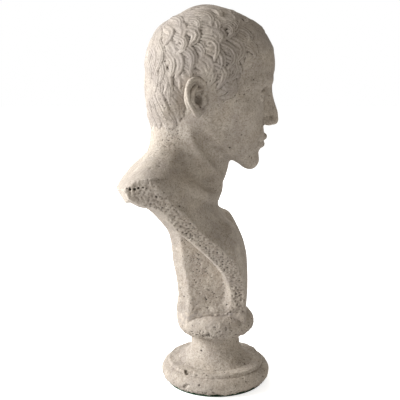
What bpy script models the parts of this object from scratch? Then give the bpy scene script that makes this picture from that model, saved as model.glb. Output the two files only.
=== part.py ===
"""A life-size carved marble bust on a turned marble socle, held together by a threaded rod.

Metres, +Z up. The face looks towards -Y, the bust's own left is +X. The origin is on the socle's axis, on
the surface that the bust stands on. Each piece that a restorer would lift apart is its own object:
felt, socle, two setting beds, cushion, carved bust, threaded rod with its grout, washer and nut.
"""

import math

import bmesh
import bpy
from mathutils import Matrix, Vector

# ---------------------------------------------------------------- driving dimensions (metres)
GAP = 0.0003  # clearance kept between pieces that touch

FELT_RADIUS = 0.0745
FELT_THICKNESS = 0.0020

SOCLE_RADIUS = 0.0825
SOCLE_TOP = 0.0735
RIM_HALF_HEIGHT = 0.0125  # half the height of the rounded bottom moulding
RIM_ROUND = 0.0115  # how deep that moulding's round runs inwards
FILLET_RADIUS = 0.0715
FILLET_HEIGHT = 0.0042
WAIST_RADIUS = 0.0368

CUSHION_RADIUS = 0.0585
CUSHION_HEIGHT = 0.0365
CUSHION_ROUND = 0.0215
BED_THICKNESS = 0.0009

ROD_RADIUS = 0.0050
ROD_TOP = 0.200
ROD_CHAMFER = 0.0010
ROD_END_BELOW_NUT = 0.0030
ROD_HOLE_RADIUS = 0.0065
ROD_HOLE_EXTRA_DEPTH = 0.0040
GROUT_HOLE_RADIUS = 0.0085
COUNTERBORE_RADIUS = 0.0180
COUNTERBORE_DEPTH = 0.0180
WASHER_RADIUS = 0.0150
WASHER_THICKNESS = 0.0025
NUT_ACROSS_FLATS = 0.0170
NUT_HEIGHT = 0.0080

UPPER_BED_HALF_WIDTH = 0.0350
UPPER_BED_FRONT = -0.0415
UPPER_BED_BACK = 0.0410
UPPER_BED_CORNER = 0.0140

HEAD_ORIGIN = Vector((0.0, 0.0080, 0.4455))  # midway between the ear canals, at eye height
HEAD_SCALE = 0.97
HEAD_PITCH = math.radians(9.0)  # looking down
HEAD_TURN = math.radians(5.0)  # towards the bust's own left

# ---------------------------------------------------------------- derived heights
SOCLE_BOTTOM = FELT_THICKNESS + GAP
LOWER_BED_BOTTOM = SOCLE_TOP + GAP
CUSHION_BOTTOM = LOWER_BED_BOTTOM + BED_THICKNESS + GAP
CUSHION_TOP = CUSHION_BOTTOM + CUSHION_HEIGHT
UPPER_BED_BOTTOM = CUSHION_TOP + GAP
BUST_BOTTOM = UPPER_BED_BOTTOM + BED_THICKNESS + GAP
WASHER_TOP = SOCLE_BOTTOM + COUNTERBORE_DEPTH - GAP
NUT_TOP = WASHER_TOP - WASHER_THICKNESS - GAP

MM = 0.001
PAST = 0.01  # how far a cutter runs past the face that it cuts
VOXEL = 3.0 * MM  # how finely the carved block is faired
KEPT_FACES = 0.045  # share of the faired block's faces that is kept


# ---------------------------------------------------------------- scene helpers
def clear_scene():
    for obj in list(bpy.data.objects):
        bpy.data.objects.remove(obj)


def new_collection(name):
    collection = bpy.data.collections.new(name)
    bpy.context.scene.collection.children.link(collection)
    return collection


def new_material(name, colour, roughness, metallic=0.0):
    material = bpy.data.materials.new(name)
    material.use_nodes = True
    shader = material.node_tree.nodes["Principled BSDF"]
    shader.inputs["Base Color"].default_value = (*colour, 1.0)
    shader.inputs["Roughness"].default_value = roughness
    shader.inputs["Metallic"].default_value = metallic
    return material


def add_object(name, mesh, collection, material=None):
    obj = bpy.data.objects.new(name, mesh)
    collection.objects.link(obj)
    if material is not None:
        mesh.materials.append(material)
    return obj


def shade_smooth(obj, angle=40.0):
    obj.data.shade_smooth()
    obj.data.set_sharp_from_angle(angle=math.radians(angle))


def interpolate(table, at):
    """Value at `at` of a table of (position, value) pairs."""
    if at <= table[0][0]:
        return table[0][1]
    for (x0, y0), (x1, y1) in zip(table, table[1:]):
        if at <= x1:
            t = (at - x0) / (x1 - x0)
            return y0 + (y1 - y0) * t
    return table[-1][1]


# ---------------------------------------------------------------- turned pieces
def arc(centre_r, centre_z, radius_r, radius_z, start, end, count):
    """Points of an elliptic arc in the (radius, height) plane, angles in degrees from +r."""
    points = []
    for i in range(count + 1):
        angle = math.radians(start + (end - start) * i / count)
        points.append((centre_r + radius_r * math.cos(angle), centre_z + radius_z * math.sin(angle)))
    return points


def turned(name, profile, collection, material, steps=48):
    """A closed (radius, height) outline turned about Z. It runs down its outer side."""
    mesh = bpy.data.meshes.new(name)
    vertices = [(r, 0.0, z) for r, z in profile]
    edges = [(i, (i + 1) % len(profile)) for i in range(len(profile))]
    mesh.from_pydata(vertices, edges, [])
    obj = add_object(name, mesh, collection, material)
    screw = obj.modifiers.new("turn", "SCREW")
    screw.axis = "Z"
    screw.angle = math.tau
    screw.steps = steps
    screw.render_steps = steps
    screw.use_merge_vertices = True
    screw.merge_threshold = 0.00001
    return obj


def socle_profile():
    """Counterbored foot, rounded bottom moulding, fillet, hollow (scotia) and waist."""
    rim_centre = SOCLE_BOTTOM + RIM_HALF_HEIGHT
    fillet_top = rim_centre + RIM_HALF_HEIGHT + FILLET_HEIGHT
    profile = [(ROD_HOLE_RADIUS, SOCLE_TOP), (WAIST_RADIUS, SOCLE_TOP)]
    # The scotia sweeps from the waist down and out to the fillet.
    profile += [(WAIST_RADIUS - 0.0004, SOCLE_TOP - 0.0100)]
    profile += arc(FILLET_RADIUS - 0.0015, SOCLE_TOP - 0.0100, FILLET_RADIUS - WAIST_RADIUS - 0.0011,
                   SOCLE_TOP - 0.0100 - fillet_top, 186, 266, 7)
    profile += [(FILLET_RADIUS, fillet_top - 0.0008), (FILLET_RADIUS + 0.0004, fillet_top - 0.0038)]
    profile += arc(SOCLE_RADIUS - RIM_ROUND, rim_centre, RIM_ROUND, RIM_HALF_HEIGHT, 78, -62, 7)
    profile += [(SOCLE_RADIUS - RIM_ROUND + 0.0025, SOCLE_BOTTOM), (COUNTERBORE_RADIUS, SOCLE_BOTTOM)]
    profile += [(COUNTERBORE_RADIUS, SOCLE_BOTTOM + COUNTERBORE_DEPTH)]
    profile += [(ROD_HOLE_RADIUS, SOCLE_BOTTOM + COUNTERBORE_DEPTH)]
    return profile


def cushion_profile():
    """A bored torus with a flat seat above and below."""
    middle = (CUSHION_BOTTOM + CUSHION_TOP) / 2
    half = CUSHION_HEIGHT / 2
    profile = [(ROD_HOLE_RADIUS, CUSHION_TOP)]
    profile += arc(CUSHION_RADIUS - CUSHION_ROUND, middle, CUSHION_ROUND, half, 90, -90, 12)
    profile += [(ROD_HOLE_RADIUS, CUSHION_BOTTOM)]
    return profile


def ring_profile(inner, outer, bottom, top):
    return [(inner, top), (outer, top), (outer, bottom), (inner, bottom)]


# ---------------------------------------------------------------- lofted masses of the carving
def loft(bm, rings):
    """Adds a closed loft through rings of equal length to bm, with a fan on each end."""
    made = [[bm.verts.new(point) for point in ring] for ring in rings]
    count = len(made[0])
    for lower, upper in zip(made, made[1:]):
        for i in range(count):
            j = (i + 1) % count
            bm.faces.new((lower[i], lower[j], upper[j], upper[i]))
    bm.faces.new(list(reversed(made[0])))
    bm.faces.new(made[-1])


def oval(centre_y, half_width, half_depth, z, power=2.3, count=40):
    """A squarish oval ring at height z, counterclockwise seen from above."""
    ring = []
    for i in range(count):
        angle = math.tau * i / count
        c, s = math.cos(angle), math.sin(angle)
        x = math.copysign(abs(c) ** (2 / power), c) * half_width
        y = math.copysign(abs(s) ** (2 / power), s) * half_depth
        ring.append(Vector((x, centre_y + y, z)))
    return ring


def span_oval(front, back, half_width, z, power=2.3):
    return oval((front + back) / 2, half_width, (back - front) / 2, z, power)


# Height, front centre line, how far the front falls back towards the rim, thickness (mm).
CHEST = (
    (108, -45.5, 3, 19),
    (125, -46.5, 4, 19),
    (145, -47.8, 6, 19),
    (165, -47.8, 8, 21),
    (185, -47.3, 13, 24),
    (208, -45.0, 22, 27),
    (233, -35.0, 31, 30),
    (258, -18.0, 37, 31),
    (283, -7.0, 46, 31),
    (303, 4.0, 50, 32),
    (316, 24.0, 46, 30),
    (322, 44.0, 34, 24),
)
# Height and half width (mm) of the outline that the block is sawn to, seen from the front.
SAWN_OUTLINE = (
    (100, 39), (125, 42), (145, 48), (165, 58), (185, 71), (208, 88), (233, 104), (258, 118), (283, 128),
    (306, 133), (330, 131), (600, 131),
)
# Height, front, back, half width (mm) of the shoulders.
SHOULDERS = (
    (276, 20, 126, 96),
    (283, 10, 133, 122),
    (298, 4, 137, 140),
    (312, 6, 133, 142),
    (323, 10, 124, 134),
    (334, 14, 115, 108),
    (346, 16, 107, 82),
    (360, 16, 100, 64),
    (378, 16, 96, 50),
)
# Height, front, back, half width (mm) of the neck.
NECK = (
    (268, 0, 60, 44),
    (283, -4, 92, 52),
    (306, -12, 104, 57),
    (324, -17, 103, 58),
    (348, -23, 99, 58),
    (380, -30, 97, 57),
    (410, -34, 95, 56),
    (432, -34, 91, 54),
)
# Height, front, back, half width (mm) of the strut behind the chest, which spreads into the back.
STRUT = (
    (108, -30, 59.5, 37),
    (121, -30, 59.0, 36),
    (124, -30, 57.5, 34),
    (158, -30, 58.5, 32),
    (195, -30, 64.5, 31),
    (220, -28, 67.5, 33),
    (236, -20, 71.5, 38),
    (249, -8, 79.0, 46),
    (261, 8, 89.0, 58),
    (271, 22, 99.0, 74),
    (280, 34, 112.0, 92),
    (290, 44, 122.0, 104),
)
# Eye height is 0. Height, front, back, half width (mm) of the head without its features.
HEAD = (
    (119, 12, -20, 14),
    (115, 36, -46, 32),
    (106, 58, -70, 49),
    (92, 77, -89, 63),
    (72, 90, -100, 73),
    (48, 96, -105, 79),
    (24, 97, -103, 79),
    (4, 92, -96, 75),
    (-20, 89, -86, 69),
    (-46, 90, -72, 62),
    (-70, 93, -58, 55),
    (-88, 91, -40, 48),
    (-102, 92, -10, 41),
    (-113, 88, 20, 31),
    (-118, 78, 40, 18),
)


def add_chest(bm):
    """A curved plate, thick at the shoulders and narrow at the foot."""
    rings = []
    columns = 16
    for z, front, fall, thickness in CHEST:
        half_width = interpolate(SAWN_OUTLINE, z)
        front_line, back_line = [], []
        for i in range(columns + 1):
            t = -1 + 2 * i / columns
            y = front + fall * abs(t) ** 2.2
            front_line.append(Vector((t * half_width, y, z)) * MM)
            back_line.append(Vector((t * half_width, y + thickness, z)) * MM)
        rings.append(front_line + list(reversed(back_line)))
    loft(bm, rings)


def add_ovals(bm, table):
    loft(bm, [span_oval(f * MM, b * MM, w * MM, z * MM) for z, f, b, w in table])


def add_strut(bm):
    """The strut's back corners are cut off at a slant."""
    rings = []
    for z, front, back, half_width in STRUT:
        corner = min(16.0, half_width * 0.45)
        outline = (
            (half_width, front),
            (half_width, back - corner),
            (half_width - corner, back),
            (-half_width + corner, back),
            (-half_width, back - corner),
            (-half_width, front),
        )
        rings.append([Vector((x, y, z)) * MM for x, y in outline])
    loft(bm, rings)


def head_matrix():
    return (
        Matrix.Translation(HEAD_ORIGIN)
        @ Matrix.Rotation(HEAD_TURN, 4, "Z")
        @ Matrix.Rotation(HEAD_PITCH, 4, "X")
        @ Matrix.Scale(HEAD_SCALE, 4)
    )


def add_ball(bm, centre, radii, turn=0.0):
    """An ellipsoid in millimetres of the head's own axes (left, back, up)."""
    place = (
        head_matrix()
        @ Matrix.Translation(Vector(centre) * MM)
        @ Matrix.Rotation(turn, 4, "X")
        @ Matrix.Diagonal((*[r * MM for r in radii], 1.0))
    )
    bmesh.ops.create_uvsphere(bm, u_segments=24, v_segments=16, radius=1.0, matrix=place)


def add_head(bm):
    place = head_matrix()
    rings = []
    for up, front, back, half_width in reversed(HEAD):
        ring = span_oval(-front * MM, -back * MM, half_width * MM, up * MM, power=2.15)
        rings.append([place @ point for point in ring])
    loft(bm, rings)
    add_ball(bm, (0, -96, -18), (10, 13, 28), turn=math.radians(-20))  # nose bridge
    add_ball(bm, (0, -104, -38), (15, 15, 9))  # nose tip and wings
    add_ball(bm, (0, -87, -68), (25, 14, 13))  # mouth
    add_ball(bm, (0, -84, -101), (21, 13, 14))  # chin
    add_ball(bm, (0, -80, 20), (50, 18, 9))  # brow
    for side in (-1, 1):
        add_ball(bm, (side * 31, -74, 0), (15, 13, 13))  # closed form of the eye
        add_ball(bm, (side * 76, 22, -12), (7, 17, 31), turn=math.radians(8))  # ear
        add_ball(bm, (side * 38, -56, -28), (20, 28, 18))  # cheekbone
        add_ball(bm, (side * 42, -14, -70), (13, 26, 28))  # corner of the jaw


def add_cylinder(bm, radius, bottom, top):
    bmesh.ops.create_cone(bm, cap_ends=True, segments=32, radius1=radius, radius2=radius, depth=top - bottom,
                          matrix=Matrix.Translation((0, 0, (bottom + top) / 2)))


def cutter(name, collection, make):
    mesh = bpy.data.meshes.new(name)
    bm = bmesh.new()
    make(bm)
    bm.to_mesh(mesh)
    bm.free()
    obj = add_object(name, mesh, collection)
    obj.hide_render = True
    obj.display_type = "WIRE"
    return obj


def cut(obj, tool):
    boolean = obj.modifiers.new("cut_" + tool.name, "BOOLEAN")
    boolean.operation = "DIFFERENCE"
    boolean.object = tool


def add_outline_form(bm):
    """The front view's outline as a thick plate that holds everything the saw leaves."""
    right = [(half_width, z) for z, half_width in SAWN_OUTLINE]
    outline = right + [(-x, z) for x, z in reversed(right)]
    loft(bm, [[Vector((x, y, z)) * MM for x, z in reversed(outline)] for y in (-200, 200)])


def build_bust(collection, cutters, material):
    """One block: the masses are fused, faired, thinned and then sawn and drilled at the foot."""
    bm = bmesh.new()
    add_chest(bm)
    add_ovals(bm, SHOULDERS)
    add_ovals(bm, NECK)
    add_strut(bm)
    add_head(bm)
    mesh = bpy.data.meshes.new("bust")
    bm.to_mesh(mesh)
    bm.free()
    bust = add_object("bust", mesh, collection, material)

    fuse = bust.modifiers.new("fuse", "REMESH")
    fuse.mode = "VOXEL"
    fuse.voxel_size = VOXEL
    fair = bust.modifiers.new("fair", "SMOOTH")
    fair.factor = 0.5
    fair.iterations = 10
    outline = bust.modifiers.new("saw_outline", "BOOLEAN")
    outline.operation = "INTERSECT"
    outline.object = cutter("outline_form", cutters, add_outline_form)
    thin = bust.modifiers.new("thin", "DECIMATE")
    thin.ratio = KEPT_FACES

    def below_foot(bm):
        size = Matrix.Diagonal((0.4, 0.4, 0.05, 1.0))
        bmesh.ops.create_cube(bm, size=1.0, matrix=Matrix.Translation((0, 0, BUST_BOTTOM - 0.025)) @ size)

    def rod_hole(bm):
        add_cylinder(bm, GROUT_HOLE_RADIUS, BUST_BOTTOM - PAST, ROD_TOP + ROD_HOLE_EXTRA_DEPTH)

    cut(bust, cutter("saw_foot", cutters, below_foot))
    cut(bust, cutter("drill_rod_hole", cutters, rod_hole))
    return bust


# ---------------------------------------------------------------- beds, rod, nut and felt
def build_upper_bed(collection, cutters, material):
    """The mortar bed under the bust's foot, pierced for the rod."""
    half, corner = UPPER_BED_HALF_WIDTH, UPPER_BED_CORNER
    back, front = UPPER_BED_BACK, UPPER_BED_FRONT
    outline = (
        (half, front), (half, back - corner), (half - corner, back),
        (corner - half, back), (-half, back - corner), (-half, front),
    )
    bm = bmesh.new()
    heights = (UPPER_BED_BOTTOM, UPPER_BED_BOTTOM + BED_THICKNESS)
    loft(bm, [[Vector((x, y, z)) for x, y in outline] for z in heights])
    mesh = bpy.data.meshes.new("bust_setting_bed")
    bm.to_mesh(mesh)
    bm.free()
    bed = add_object("bust_setting_bed", mesh, collection, material)

    def hole(bm):
        add_cylinder(bm, ROD_HOLE_RADIUS, UPPER_BED_BOTTOM - PAST, UPPER_BED_BOTTOM + PAST)

    cut(bed, cutter("drill_bed_hole", cutters, hole))
    return bed


def build_nut(collection, cutters, material):
    """A hexagon nut; its bore clears the rod by the usual gap, since no thread is cut."""
    bpy.ops.mesh.primitive_cylinder_add(vertices=6, radius=NUT_ACROSS_FLATS / math.sqrt(3), depth=NUT_HEIGHT,
                                        location=(0, 0, NUT_TOP - NUT_HEIGHT / 2))
    nut = bpy.context.object
    nut.name = nut.data.name = "hex_nut"
    nut.data.materials.append(material)
    move_to(nut, collection)

    def bore(bm):
        add_cylinder(bm, ROD_RADIUS + GAP, NUT_TOP - NUT_HEIGHT - PAST, NUT_TOP + PAST)

    cut(nut, cutter("nut_bore", cutters, bore))
    return nut


def move_to(obj, collection):
    for owner in list(obj.users_collection):
        owner.objects.unlink(obj)
    collection.objects.link(obj)


def build_rod(collection, material):
    bottom = NUT_TOP - NUT_HEIGHT - ROD_END_BELOW_NUT
    narrow = ROD_RADIUS - ROD_CHAMFER
    profile = [
        (0.0, ROD_TOP), (narrow, ROD_TOP), (ROD_RADIUS, ROD_TOP - ROD_CHAMFER),
        (ROD_RADIUS, bottom + ROD_CHAMFER), (narrow, bottom), (0.0, bottom),
    ]
    mesh = bpy.data.meshes.new("threaded_rod")
    mesh.from_pydata([(r, 0.0, z) for r, z in profile], [(i, i + 1) for i in range(len(profile) - 1)], [])
    rod = add_object("threaded_rod", mesh, collection, material)
    screw = rod.modifiers.new("turn", "SCREW")
    screw.axis = "Z"
    screw.angle = math.tau
    screw.steps = screw.render_steps = 24
    screw.use_merge_vertices = True
    screw.merge_threshold = 0.00001
    return rod


def build_felt(collection, material):
    bpy.ops.mesh.primitive_cylinder_add(vertices=64, radius=FELT_RADIUS, depth=FELT_THICKNESS,
                                        location=(0, 0, FELT_THICKNESS / 2))
    felt = bpy.context.object
    felt.name = felt.data.name = "base_felt"
    felt.data.materials.append(material)
    move_to(felt, collection)
    return felt


def main():
    clear_scene()
    parts = new_collection("marble_bust")
    cutters = new_collection("cutters")
    marble = new_material("aged_marble", (0.55, 0.50, 0.43), 0.75)
    mortar = new_material("setting_mortar", (0.42, 0.39, 0.34), 0.9)
    steel = new_material("zinc_steel", (0.55, 0.56, 0.58), 0.4, 1.0)
    felt = new_material("green_felt", (0.05, 0.09, 0.06), 0.95)

    build_felt(parts, felt)
    shade_smooth(turned("socle", socle_profile(), parts, marble))
    turned("socle_setting_bed", ring_profile(ROD_HOLE_RADIUS, WAIST_RADIUS - 0.0012, LOWER_BED_BOTTOM,
                                             LOWER_BED_BOTTOM + BED_THICKNESS), parts, mortar, 48)
    shade_smooth(turned("cushion", cushion_profile(), parts, marble))
    build_upper_bed(parts, cutters, mortar)
    shade_smooth(build_bust(parts, cutters, marble), 60.0)
    build_rod(parts, steel)
    turned("rod_grout", ring_profile(ROD_RADIUS + GAP, GROUT_HOLE_RADIUS - GAP, BUST_BOTTOM + 0.012,
                                     ROD_TOP - 0.002), parts, mortar, 24)
    turned("washer", ring_profile(ROD_RADIUS + GAP, WASHER_RADIUS, WASHER_TOP - WASHER_THICKNESS,
                                  WASHER_TOP), parts, steel, 32)
    build_nut(parts, cutters, steel)


main()
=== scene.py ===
"""A weathered, life-size marble bust on its turned socle, carved as fields of distances and meshed.

The three stone pieces are carved like the real ones: masses are blended together, then the locks of hair,
the sawn rim, the tool marks, chips and pits are cut. Carving works in millimetres in the frame's axes, with
the face towards -Y and the bust's own left at +X. Blender's meshes are in metres.
"""

import math

import bpy
import numpy as np
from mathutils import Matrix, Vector
from mathutils.kdtree import KDTree


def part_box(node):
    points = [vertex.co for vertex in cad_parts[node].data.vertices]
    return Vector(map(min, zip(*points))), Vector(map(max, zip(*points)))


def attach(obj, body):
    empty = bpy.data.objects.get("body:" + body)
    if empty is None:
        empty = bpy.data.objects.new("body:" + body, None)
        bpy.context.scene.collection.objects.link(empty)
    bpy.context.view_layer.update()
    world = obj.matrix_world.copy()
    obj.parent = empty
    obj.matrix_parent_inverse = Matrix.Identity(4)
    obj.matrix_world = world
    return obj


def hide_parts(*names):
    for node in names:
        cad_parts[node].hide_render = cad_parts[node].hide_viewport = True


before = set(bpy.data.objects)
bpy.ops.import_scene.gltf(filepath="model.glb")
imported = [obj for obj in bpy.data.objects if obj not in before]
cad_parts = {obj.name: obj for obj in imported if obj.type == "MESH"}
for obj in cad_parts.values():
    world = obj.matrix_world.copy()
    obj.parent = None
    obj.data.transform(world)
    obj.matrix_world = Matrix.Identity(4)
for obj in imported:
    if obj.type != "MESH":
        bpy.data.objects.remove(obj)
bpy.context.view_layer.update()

MM = 0.001
STEP = 1.2  # sample spacing of the carving
FAR = 40.0  # what a sample with nothing near it holds
GROUT_HOLE_RADIUS = 8.5
GROUT_HOLE_TOP = 204.0


def box_mm(node):
    """Lowest and highest corner of a CAD node, in millimetres."""
    return [np.array(corner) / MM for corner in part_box(node)]


# ---------------- the carving's tools
def blended_min(a, b, soft):
    """The union of two fields, rounded over `soft` millimetres where they meet."""
    if soft <= 0:
        return np.minimum(a, b)
    share = np.clip(0.5 + 0.5 * (b - a) / soft, 0.0, 1.0)
    return b + (a - b) * share - soft * share * (1.0 - share)


def blended_max(a, b, soft):
    return -blended_min(-a, -b, soft)


def ramp(distance, width):
    """Rises from 0 to 1 while the distance goes from 0 to the width."""
    return np.clip(distance / width, 0, 1)


def curve(table, column, at):
    """A smooth curve through one column of a table whose first column is the position."""
    rows = np.array(table, float)
    position, value = rows[:, 0], rows[:, column]
    slope = np.gradient(value, position)
    at = np.clip(at, position[0], position[-1])
    i = np.clip(np.searchsorted(position, at) - 1, 0, len(position) - 2)
    width = position[i + 1] - position[i]
    t = (at - position[i]) / width
    start = value[i] * (1 + 2 * t) + slope[i] * width * t
    end = value[i + 1] * (3 - 2 * t) - slope[i + 1] * width * (1 - t)
    return (start * (1 - t) ** 2 + end * t**2).astype(np.float32)


def between_samples(grid, place, eased=False):
    """Values of a grid at places counted in its samples, straight or eased from one sample to the next."""
    cell = place.astype(int)
    part = place - cell
    if eased:
        part = part * part * (3 - 2 * part)
    total = 0.0
    for corner in np.ndindex(2, 2, 2):
        weight = np.prod(np.where(corner, part, 1 - part), axis=1)
        total = total + weight * grid[tuple((cell + corner).T)]
    return total


class Clay:
    """A block of samples of the distance to a carved surface, negative inside the stone."""

    def __init__(self, low, high):
        self.low = np.array(low, float)
        self.count = np.ceil((np.array(high) - self.low) / STEP).astype(int) + 1
        lines = [self.low[i] + STEP * np.arange(self.count[i]) for i in range(3)]
        self.lines = np.ix_(*[line.astype(np.float32) for line in lines])
        self.field = np.full(self.count, FAR, np.float32)

    def window(self, low, high):
        """Slices and coordinates of the samples between two corners."""
        first = np.clip(np.floor((np.array(low) - self.low) / STEP), 0, self.count).astype(int)
        last = np.clip(np.ceil((np.array(high) - self.low) / STEP) + 1, first, self.count).astype(int)
        slices = tuple(slice(a, b) for a, b in zip(first, last))
        lines = []
        for i, line in enumerate(self.lines):
            lines.append(line[tuple(slices[i] if j == i else slice(None) for j in range(3))])
        return slices, lines

    def points(self):
        """The place of every sample, one row each."""
        return np.stack([np.broadcast_to(line, self.count).ravel() for line in self.lines], axis=1)

    def add(self, slices, distance, soft):
        """Blends a shape into the samples of a window."""
        self.field[slices] = blended_min(self.field[slices], distance, soft)

    def trim(self, distance):
        """Takes away what lies outside a shape."""
        self.field[...] = np.maximum(self.field, distance)

    def sample(self, points, grid=None):
        """Values of a grid, by default the field, at scattered points."""
        grid = self.field if grid is None else grid
        return between_samples(grid, np.clip((points - self.low) / STEP, 0, self.count - 1.001))

    def slope(self, points):
        """Unit outward normals and steepness of the field at scattered points."""
        steps = np.eye(3) * STEP
        rise = [self.sample(points + step) - self.sample(points - step) for step in steps]
        rise = np.stack(rise, axis=1) / (2 * STEP)
        steep = np.maximum(np.linalg.norm(rise, axis=1, keepdims=True), 0.2)
        return rise / steep, steep[:, 0]

    def settle(self, points, height):
        """Moves points to a height above the surface."""
        for _ in range(4):
            normal, steep = self.slope(points)
            points = points - normal * ((self.sample(points) / steep) - height)[:, None]
        return points


class Axes:
    """Axes of a detail, as its origin, three unit rows and a scale, all in the clay's millimetres."""

    def __init__(self, origin=(0, 0, 0), rows=np.eye(3), scale=1.0):
        self.origin, self.rows, self.scale = np.array(origin, float), np.array(rows, float), scale

    def out(self, point):
        return self.origin + self.scale * (np.asarray(point, float) @ self.rows)

    def into(self, lines):
        away = [line - np.float32(o) for line, o in zip(lines, self.origin)]
        rows = (self.rows / self.scale).astype(np.float32)
        return [row[0] * away[0] + row[1] * away[1] + row[2] * away[2] for row in rows]

    def inner(self, origin, rows, scale=1.0):
        """Axes whose origin and rows are given in these axes."""
        return Axes(self.out(origin), np.array(rows) @ self.rows, self.scale * scale)

    def halves(self):
        """Two sets of axes, the first axis pointing out to the right in one and to the left in the other."""
        return [Axes(self.origin, self.rows * ((side,), (1,), (1,)), self.scale) for side in (-1, 1)]


PLAIN = Axes()


def unit(vector):
    return np.array(vector, float) / np.linalg.norm(vector)


def stamp(clay, axes, centre, reach, shape, soft=0.0, cut=False):
    """Blends a shape into the clay, or cuts it out. The shape takes coordinates from its centre."""
    span = (reach + soft + 2 * STEP) * axes.scale
    slices, lines = clay.window(axes.out(centre) - span, axes.out(centre) + span)
    local = [line - np.float32(c) for line, c in zip(axes.into(lines), centre)]
    distance = shape(*local)
    part = clay.field[slices]
    part[...] = -blended_min(-part, distance, soft) if cut else blended_min(part, distance, soft)


def ball(radii, swing=0.0):
    """An ellipsoid that swings, in degrees, from the first axis to the second."""
    c, s = math.cos(math.radians(swing)), math.sin(math.radians(swing))
    r = [np.float32(v) for v in radii]

    def shape(x, y, z):
        x, y = x * c + y * s, y * c - x * s
        near = np.sqrt((x / r[0]) ** 2 + (y / r[1]) ** 2 + (z / r[2]) ** 2)
        far = np.sqrt((x / r[0] ** 2) ** 2 + (y / r[1] ** 2) ** 2 + (z / r[2] ** 2) ** 2)
        return near * (near - 1) / np.maximum(far, 1e-4)

    return shape


def add_ball(clay, axes, centre, radii, soft=0.0, swing=0.0, cut=False):
    stamp(clay, axes, centre, max(radii), ball(radii, swing), soft, cut)


def smooth_path(points, count):
    """Points along a Catmull-Rom curve through rows of numbers."""
    rows = np.array(points, float)
    rows = np.vstack([2 * rows[0] - rows[1], rows, 2 * rows[-1] - rows[-2]])
    at = np.linspace(0, len(points) - 1, count)
    i = np.minimum(at.astype(int), len(points) - 2)
    t = (at - i)[:, None]
    a, b, c, d = (rows[i + k] for k in range(4))
    bend = (2 * a - 5 * b + 4 * c - d) * t**2
    return 0.5 * (2 * b + (c - a) * t + bend + (3 * b - a - 3 * c + d) * t**3)


def rod(start, end):
    """A round-ended rod between two points, each with a radius as its fourth number."""
    a, b, c = along = (end - start)[:3].astype(np.float32)
    squared = float(along @ along)

    def shape(x, y, z):
        x, y, z = x + a / 2, y + b / 2, z + c / 2
        t = np.clip((x * a + y * b + z * c) / squared, 0, 1)
        gap = np.sqrt((x - t * a) ** 2 + (y - t * b) ** 2 + (z - t * c) ** 2)
        return gap - (start[3] + (end[3] - start[3]) * t).astype(np.float32)

    return shape


def add_cord(clay, axes, points, soft=0.0, cut=False, count=12):
    """A round cord along points (first, second, third, radius)."""
    rows = smooth_path(points, count)
    for start, end in zip(rows, rows[1:]):
        length = np.linalg.norm((end - start)[:3])
        reach = length / 2 + max(start[3], end[3])
        stamp(clay, axes, (start + end)[:3] / 2, reach, rod(start, end), soft, cut)


def evened(distance):
    """A field divided by its own steepness, so that blends keep their width."""
    rise = np.gradient(distance, STEP)
    steep = np.sqrt(sum(r**2 for r in rise))
    return distance / np.maximum(steep, 0.35)


# ---------------- noise
def noise(points, cell, seed):
    """Smooth noise at points, about -1 to 1, with lumps of about `cell` millimetres."""
    place = points.astype(float) / cell
    place = place - np.floor(place.min(axis=0)) + 1
    count = place.astype(int).max(axis=0) + 2
    grid = np.random.default_rng(seed).uniform(-1, 1, count).astype(np.float32)
    return 1.5 * between_samples(grid, place, eased=True)


def rough_noise(points, cell, seed, octaves=3):
    """Noise with ever finer and weaker lumps added."""
    return sum(noise(points, cell / 2**i, seed + i) / 1.8**i for i in range(octaves))


# ---------------- meshing
def net_points(clay, cells):
    """The mean of the places where the surface crosses the edges of each cell."""
    total = np.zeros((len(cells), 3))
    hits = np.zeros(len(cells))
    for axis in range(3):
        others = [i for i in range(3) if i != axis]
        for a, b in np.ndindex(2, 2):
            start = cells.copy()
            start[:, others[0]] += a
            start[:, others[1]] += b
            end = start.copy()
            end[:, axis] += 1
            first, last = clay.field[tuple(start.T)], clay.field[tuple(end.T)]
            crossed = (first < 0) != (last < 0)
            point = (start - cells).astype(float)
            point[:, axis] += np.where(crossed, first / np.where(crossed, first - last, 1), 0)
            total += point * crossed[:, None]
            hits += crossed
    return clay.low + (cells + total / hits[:, None]) * STEP


def net_quads(inside, number):
    """A quad facing out round each edge that the surface crosses, from the number of each cell's vertex."""
    quads = []
    for axis in range(3):
        u, v = (axis + 1) % 3, (axis + 2) % 3
        low = tuple(slice(0, -1) if i == axis else slice(1, -1) for i in range(3))
        high = tuple(slice(1, None) if i == axis else slice(1, -1) for i in range(3))
        leaving = inside[low] & ~inside[high]
        entering = ~inside[low] & inside[high]
        for found, order in ((leaving, (0, 1, 2, 3)), (entering, (3, 2, 1, 0))):
            at = np.argwhere(found)
            ring = []
            for du, dv in ((0, 0), (1, 0), (1, 1), (0, 1)):
                cell = at.copy()
                cell[:, u] += du
                cell[:, v] += dv
                ring.append(number[tuple(cell.T)])
            quads.append(np.stack([ring[i] for i in order], axis=1))
    return np.concatenate(quads)


def meshed(clay):
    """Surface nets: one vertex in each cell that the surface crosses, one quad for each crossed edge."""
    inside = clay.field < 0
    shape = np.array(inside.shape) - 1
    full = np.zeros(shape, np.uint8)
    for corner in np.ndindex(2, 2, 2):
        full += inside[tuple(slice(c, c + n) for c, n in zip(corner, shape))]
    cells = np.argwhere((full > 0) & (full < 8))
    number = np.full(shape, -1, np.int32)
    number[tuple(cells.T)] = np.arange(len(cells))
    return net_points(clay, cells), net_quads(inside, number)


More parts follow.
